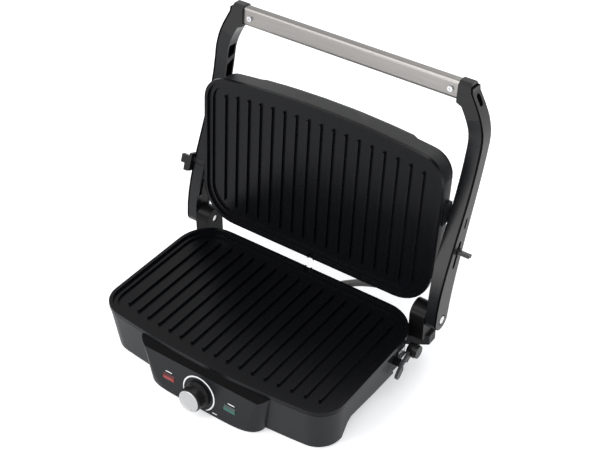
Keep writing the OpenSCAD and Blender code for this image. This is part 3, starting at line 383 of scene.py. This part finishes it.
# finishes and edge radii of the CAD nodes: material, edge radius in mm
nodeFinish = {
    "base_housing": (shellPlastic, 0.9),
    "bottom_cover": (shellPlastic, 0.5),
    "rubber_feet": (footRubber, 0.5),
    "lower_plate": (plateCoating, 1.1),
    "upper_plate": (plateCoating, 1.1),
    "lid_housing": (shellPlastic, 1.4),
    "left_arm": (armPlastic, 0.9),
    "right_arm": (armPlastic, 0.9),
    "left_arm_cover": (coverPaintedReflection, 0.9),
    "right_arm_cover": (coverPaintedReflection, 0.9),
    "left_hinge_bracket": (earPlastic, 1.2),
    "right_hinge_bracket": (earPlastic, 1.2),
    "control_knob": (blackPlastic, 0.4),
    "arm_slider": (blackPlastic, 0.4),
    "arm_latch": (blackPlastic, 0.4),
    "release_knob": (blackPlastic, 0.6),
    "release_lever": (leverPaint, 0.4),
    "bar_end_plugs": (blackPlastic, 0),
    "cord_inlet": (blackPlastic, 0.4),
    "base_lead_grommet": (blackPlastic, 0.4),
    "lid_lead_grommet": (blackPlastic, 0.4),
    "handle_bar": (barSteel, 0),
    "left_hinge_pin": (pinSteel, 0.3),
    "right_hinge_pin": (pinSteel, 0.3),
    "left_lid_pin": (pinSteel, 0.2),
    "right_lid_pin": (pinSteel, 0.2),
    "lid_pin_washers": (pinSteel, 0.2),
    "left_strap": (strapNearBlack, 0.2),
    "right_strap": (strapNearBlack, 0.2),
    "lower_reflector": (trayMetal, 0),
    "upper_reflector": (trayMetal, 0),
    "lower_element": (sheath, 0),
    "upper_element": (sheath, 0),
    "terminal_block": (ceramic, 0.3),
    "thermal_fuse": (ceramic, 0.3),
    "lamp_holders": (ceramic, 0.3),
}
otherFinish = (platedSteel, 0.15)
# the scene makes its own pieces for these
replacedNodes = ("link_lead", "red_lamp_lens", "green_lamp_lens", "knob_cap")
edgeSet = {
    "flatWithin": 1,
    "sharpFrom": 30,
    "segments": 3,
    "flatWeight": 90,
}


def dressNode(name, material, radius):
    # rounds the edges by radius, in mm; with none the node keeps its own mesh
    node = nodes[name]
    node.data.materials.clear()
    node.data.materials.append(material)
    if not radius:
        return
    if node.data.attributes.get("custom_normal"):
        node.data.attributes.remove(node.data.attributes["custom_normal"])
    node.data.polygons.foreach_set("use_smooth", [True] * len(node.data.polygons))
    weld = node.modifiers.new("weldSeams", "WELD")
    weld.merge_threshold = weldGap
    flats = node.modifiers.new("joinFlats", "DECIMATE")
    flats.decimate_type = "DISSOLVE"
    flats.angle_limit = math.radians(edgeSet["flatWithin"])
    flats.delimit = {"MATERIAL"}
    edge = node.modifiers.new("edgeRadius", "BEVEL")
    edge.width = radius / 1000
    edge.segments = edgeSet["segments"]
    edge.limit_method = "ANGLE"
    edge.angle_limit = math.radians(edgeSet["sharpFrom"])
    edge.miter_outer = "MITER_ARC"
    shade = node.modifiers.new("flatFaces", "WEIGHTED_NORMAL")
    shade.mode = "FACE_AREA_WITH_ANGLE"
    shade.weight = edgeSet["flatWeight"]


for name in nodes:
    if name in replacedNodes:
        continue
    material, radius = nodeFinish.get(name, otherFinish)
    dressNode(name, material, radius)
print("CAD nodes dressed")


# near-black areas: painted shade on the sloped band over the panel and on the side walls of the arm covers,
# and glossier black plastic on the blocks at the tops of the arms
glossAndPaintedShadeSet = {
    "bandBottom": 0.0471,
    "bandBack": -0.1193,
    "bandHalf": 0.0845,
    "bandRise": 0.3,
    "blockBottom": 0.278,
    "wallTurn": 0.8,
}


def blackenFaces(node, material, chosen):
    # chosen is asked with each face's middle and its outward direction
    node.data.materials.append(material)
    slot = len(node.data.materials) - 1
    for face in node.data.polygons:
        if chosen(face.center, face.normal):
            face.material_index = slot


def onSlopedBand(at, out):
    s = glossAndPaintedShadeSet
    inBand = at.z > s["bandBottom"] and at.y < s["bandBack"] and abs(at.x) < s["bandHalf"]
    return inBand and out.z > s["bandRise"]


def onEndBlock(at, out):
    return at.z > glossAndPaintedShadeSet["blockBottom"]


def onCoverWall(at, out):
    return abs(out.x) < glossAndPaintedShadeSet["wallTurn"]


# painted shade on the sloped band over the panel
blackenFaces(nodes["base_housing"], paintedShadeBlack, onSlopedBand)
for side in ("left", "right"):
    blackenFaces(nodes[side + "_arm"], blockPlastic, onEndBlock)
    # painted shade on the covers' side walls, along the joint with the arm
    blackenFaces(nodes[side + "_arm_cover"], paintedShadeBlack, onCoverWall)


# control panel: everything here is laid out about the knob's axis
knobJoint = next(j for j in frame["joints"] if j["name"] == "knob_turn")
panelOut = Vector(knobJoint["axis"]).normalized()
panelUp = Vector((1, 0, 0)).cross(panelOut) * -1
panelCentre = Vector(knobJoint["pos_m"])


def onPanel(x, y, out):
    return panelCentre + Vector((x, 0, 0)) + y * panelUp + out * panelOut


dialSet = {
    "radius": 0.0200,
    "width": 0.0017,
    "from": 205,
    "to": -60,
    "height": 0.00025,
    "steps": 72,
    "tip": 0.35,
    "fadeIn": 20,
    "fadeOut": 8,
}


def printWhite():
    r = Recipe("printWhite")
    r.join(
        r.twoTone(r.spread(r.noise(900, detail=2), 0, 1), (0.62, 0.62, 0.62), (0.74, 0.74, 0.74)),
        r.shader.inputs["Base Color"],
    )
    r.fixed(Roughness=0.5)
    r.bump(r.noise(2500, detail=2), strength=0.1, depth=0.00002)
    return r.material


whitePrint = printWhite()


def flatBand(name, inner, outer, height):
    # a closed thin strip between two rows of points on the panel
    points = []
    for a, b in zip(inner, outer):
        points += [onPanel(*a, 0), onPanel(*b, 0), onPanel(*b, height), onPanel(*a, height)]
    faces = wrapFaces(len(inner), 4)
    faces.append((3, 2, 1, 0))
    end = 4 * (len(inner) - 1)
    faces.append((end, end + 1, end + 2, end + 3))
    return meshPiece(name, points, faces, smooth=False)


def makeDialRing(s):
    # the printed arc, which thins towards both ends
    inner, outer = [], []
    steps = s["steps"]
    for i in range(steps + 1):
        turn = math.radians(s["from"] + (s["to"] - s["from"]) * i / steps)
        thin = min(1, s["tip"] + i / s["fadeIn"], s["tip"] + (steps - i) / s["fadeOut"])
        for row, side in ((inner, -1), (outer, 1)):
            r = s["radius"] + side * thin * s["width"] / 2
            row.append((r * math.cos(turn), r * math.sin(turn)))
    ring = flatBand("dial_ring", inner, outer, s["height"])
    dress(ring, whitePrint, "base")


makeDialRing(dialSet)

markSet = {
    "left_lamp_mark": {"at": (-0.0400, 0.0070), "length": 0.0085, "height": 0.0011},
    "right_lamp_mark": {"at": (0.0420, 0.0070), "length": 0.0085, "height": 0.0011},
    "full_heat_mark": {"at": (0.0215, -0.0158), "length": 0.0060, "height": 0.0011},
}
markThickness = 0.0002
markEndSteps = 12


def makeMark(name, s):
    # a short plain bar with round ends
    half, reach = s["height"] / 2, s["length"] / 2 - s["height"] / 2
    corners = []
    for middle, start in ((-reach, 90), (reach, -90)):
        for i in range(markEndSteps + 1):
            turn = math.radians(start + 180 * i / markEndSteps)
            corners.append((middle + half * math.cos(turn), half * math.sin(turn)))
    x, y = s["at"]
    count = len(corners)
    points = [onPanel(x + a, y + b, 0) for a, b in corners]
    points += [onPanel(x + a, y + b, markThickness) for a, b in corners]
    faces = [(i, (i + 1) % count, (i + 1) % count + count, i + count) for i in range(count)]
    faces += [tuple(reversed(range(count))), tuple(range(count, 2 * count))]
    dress(meshPiece(name, points, faces, smooth=False), whitePrint, "base")


for name, values in markSet.items():
    makeMark(name, values)
print("panel printed")


lensSet = {
    "length": 0.0146,
    "height": 0.0073,
    "ridge": 0.0007,
    "proud": 0.0009,
    "back": -0.0030,
    "lowEdge": 0.0002,
    "highEdge": -0.0004,
    "edgeRadius": 0.0003,
    # each top is the upper slope's colour, darkened as painted shade; each face is the lens's own colour
    "red": {"top": (0.070, 0.004, 0.004), "face": (0.30, 0.018, 0.016)},
    "green": {"top": (0.003, 0.026, 0.020), "face": (0.008, 0.095, 0.066)},
}


def lensMaterial(name, colour):
    r = Recipe(name)
    deep = tuple(c * 0.7 for c in colour)
    cloud = r.noise(260, detail=2)
    r.join(r.twoTone(r.spread(cloud, 0, 1), deep, colour), r.shader.inputs["Base Color"])
    r.bump(r.noise(180, detail=1, stretch=(1, 1, 6)), strength=0.1, depth=0.00003)
    r.fixed(Roughness=0.25, Specular_IOR_Level=0.3)
    return r.material


def makeLens(name, node, x, tones, slotName, s):
    # a wedge: a short upper slope, darker as painted shade, over a long lighter face
    half, h = s["length"] / 2, s["height"] / 2
    profile = [
        (-h, s["back"]), (-h, s["lowEdge"]), (s["ridge"], s["proud"]), (h, s["highEdge"]), (h, s["back"]),
    ]
    count = len(profile)
    points = [onPanel(x - half, y, out) for y, out in profile]
    points += [onPanel(x + half, y, out) for y, out in profile]
    faces = [tuple(range(count)), tuple(reversed(range(count, 2 * count)))]
    faces += [(k, k + count, (k + 1) % count + count, (k + 1) % count) for k in range(count)]
    # two ends come first, and the slope that starts at the third point is the top, which takes the painted
    # shade
    topFace = 2 + 2
    lens = meshPiece(name, points, faces, smooth=False)
    dress(lens, lensMaterial(slotName + "Face", tones["face"]), "base")
    lens.data.materials.append(lensMaterial(slotName + "Top", tones["top"]))
    for face in lens.data.polygons:
        face.material_index = 1 if face.index == topFace else 0
    edge = lens.modifiers.new("edgeRadius", "BEVEL")
    edge.width = s["edgeRadius"]
    edge.segments = 2
    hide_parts(node)


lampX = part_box("green_lamp_lens")[0].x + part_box("green_lamp_lens")[1].x
makeLens("red_lens", "red_lamp_lens", -lampX / 2, lensSet["red"], "red_lens", lensSet)
makeLens("green_lens", "green_lamp_lens", lampX / 2, lensSet["green"], "green_lens", lensSet)
print("lamp lenses set in")


# the rim's points are its way in from the edge and its height over the knob
capSet = {
    "radius": 0.0123,
    "out": 0.0160,
    "sunk": 0.0002,
    "rim": [(0, 0.0007), (0.0003, 0.0011), (0.0009, 0.0012), (0.0013, 0.0010)],
    "faceShare": 0.55,
    "faceHeight": 0.0008,
    "sides": 96,
    "dotAt": -60,
    "dotInset": 0.0026,
    "dotRadius": 0.0008,
    "dotHeight": 0.0009,
    "dotDepth": 0.0006,
    "dotDome": 0.0001,
    "dotSides": 24,
}


def spunFace():
    # turned metal: fine rings about the knob's axis
    r = Recipe("spunFace")
    shift = r.add("VectorMath", operation="SUBTRACT")
    r.join(r.place, shift.inputs[0])
    shift.inputs[1].default_value = panelCentre
    cross = r.add("VectorMath", operation="CROSS_PRODUCT")
    r.join(shift.outputs["Vector"], cross.inputs[0])
    cross.inputs[1].default_value = panelOut
    length = r.add("VectorMath", operation="LENGTH")
    r.join(cross.outputs["Vector"], length.inputs[0])
    rings = r.add("TexNoise", noise_dimensions="1D", Scale=2600, Detail=3)
    r.join(length.outputs["Value"], rings.inputs["W"])
    r.join(
        r.twoTone(r.spread(rings.outputs["Fac"], 0, 1), (0.34, 0.34, 0.345), (0.50, 0.50, 0.505)),
        r.shader.inputs["Base Color"],
    )
    r.join(r.spread(rings.outputs["Fac"], low=0.28, high=0.42), r.shader.inputs["Roughness"])
    r.bump(rings.outputs["Fac"], strength=0.3, depth=0.00003)
    r.fixed(Metallic=1.0)
    return r.material


def makeCap(s):
    radius, back, face = s["radius"], -s["sunk"], s["faceHeight"]
    rows = [(0.0, back), (radius, back)]
    rows += [(radius - inward, out) for inward, out in s["rim"]]
    rows += [(radius * s["faceShare"], face), (0.0, face)]
    points = []
    for r, out in rows:
        points += [onPanel(x, y, s["out"] + out) for x, y in circlePoints(r, s["sides"])]
    cap = meshPiece("spun_cap", points, wrapFaces(len(rows), s["sides"]))
    weld = cap.modifiers.new("weldMiddle", "WELD")
    weld.merge_threshold = weldGap
    dress(cap, spunFace(), "knob")
    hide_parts("knob_cap")


def makeCapDot(s):
    # a low domed dot near the cap's edge
    turn, reach, count = math.radians(s["dotAt"]), s["radius"] - s["dotInset"], s["dotSides"]
    x, y = reach * math.cos(turn), reach * math.sin(turn)
    top = s["out"] + s["dotHeight"]
    points = [onPanel(x, y, top + s["dotDome"])]
    for out in (top - s["dotDepth"], top):
        points += [onPanel(x + a, y + b, out) for a, b in circlePoints(s["dotRadius"], count)]
    low, high = 1, 1 + count
    faces = [(low + k, low + (k + 1) % count, high + (k + 1) % count, high + k) for k in range(count)]
    faces += [(high + k, high + (k + 1) % count, 0) for k in range(count)]
    faces.append(tuple(reversed(range(low, high))))
    dress(meshPiece("cap_dot", points, faces), blackPlastic, "knob")


makeCap(capSet)
makeCapDot(capSet)
print("knob capped")

# floor, backdrop light and lamps
stageSet = {
    "floorSize": 6.0,
    "floorColour": (0.86, 0.86, 0.86),
    "floorDrift": 1.03,
    "floorGlow": 0.42,
    "roomColour": (0.93, 0.95, 1.0),
    "roomLevel": 0.55,
    "lampAim": (0, 0, 0.12),
    "key": {"at": (-0.9, -1.3, 1.7), "size": 1.3, "power": 26},
    "fill": {"at": (1.6, -1.0, 0.9), "size": 1.2, "power": 9},
    "back": {"at": (0.2, 1.3, 1.6), "size": 1.4, "power": 14},
    "strip": {"at": (-0.22, -1.40, 0.30), "size": 0.85, "height": 0.56, "power": 8},
}


def seenWhite(tree):
    # 1 for what the camera sees directly, in a gloss or through a clear piece
    path = tree.nodes.new("ShaderNodeLightPath")
    total = path.outputs["Is Camera Ray"]
    for kind in ("Is Glossy Ray", "Is Transmission Ray"):
        added = tree.nodes.new("ShaderNodeMath")
        added.operation = "ADD"
        added.use_clamp = True
        tree.links.new(total, added.inputs[0])
        tree.links.new(path.outputs[kind], added.inputs[1])
        total = added.outputs["Value"]
    return total


def makeFloor(s):
    half = s["floorSize"] / 2
    corners = [(-half, -half, 0), (half, -half, 0), (half, half, 0), (-half, half, 0)]
    floor = meshPiece("studioFloor", corners, [(0, 1, 2, 3)], smooth=False)
    r = Recipe("paleFloor")
    pale = tuple(c * s["floorDrift"] for c in s["floorColour"])
    cloud = r.noise(3, detail=2)
    r.join(r.twoTone(r.spread(cloud, 0, 1), s["floorColour"], pale), r.shader.inputs["Base Color"])
    r.fixed(Roughness=0.8)
    glow = r.add("Emission", Color=(1, 1, 1, 1), Strength=s["floorGlow"])
    both = r.add("AddShader")
    seen = r.add("MixShader")
    output = r.tree.nodes["Material Output"]
    r.join(r.shader.outputs["BSDF"], both.inputs[0])
    r.join(glow.outputs["Emission"], both.inputs[1])
    r.join(seenWhite(r.tree), seen.inputs["Fac"])
    r.join(r.shader.outputs["BSDF"], seen.inputs[1])
    r.join(both.outputs["Shader"], seen.inputs[2])
    r.join(seen.outputs["Shader"], output.inputs["Surface"])
    floor.data.materials.append(r.material)


def makeWorld(s):
    world = bpy.data.worlds.new("studioRoom")
    world.use_nodes = True
    scene.world = world
    tree = world.node_tree
    room = tree.nodes["Background"]
    room.inputs["Color"].default_value = (*s["roomColour"], 1)
    room.inputs["Strength"].default_value = s["roomLevel"]
    white = tree.nodes.new("ShaderNodeBackground")
    white.inputs["Color"].default_value = (1, 1, 1, 1)
    white.inputs["Strength"].default_value = 1.0
    mix = tree.nodes.new("ShaderNodeMixShader")
    tree.links.new(seenWhite(tree), mix.inputs["Fac"])
    tree.links.new(room.outputs["Background"], mix.inputs[1])
    tree.links.new(white.outputs["Background"], mix.inputs[2])
    tree.links.new(mix.outputs["Shader"], tree.nodes["World Output"].inputs["Surface"])


def makeLamp(name, s, aim):
    light = bpy.data.lights.new(name, "AREA")
    light.shape = "RECTANGLE"
    light.size = s["size"]
    light.size_y = s.get("height", s["size"])
    light.energy = s["power"]
    lamp = bpy.data.objects.new(name, light)
    scene.collection.objects.link(lamp)
    lamp.location = s["at"]
    look = Vector(aim) - Vector(s["at"])
    lamp.rotation_euler = look.to_track_quat("-Z", "Y").to_euler()


makeFloor(stageSet)
makeWorld(stageSet)
for name in ("key", "fill", "back", "strip"):
    makeLamp(name, stageSet[name], stageSet["lampAim"])
scene.view_settings.view_transform = "Standard"
print("stage lit")
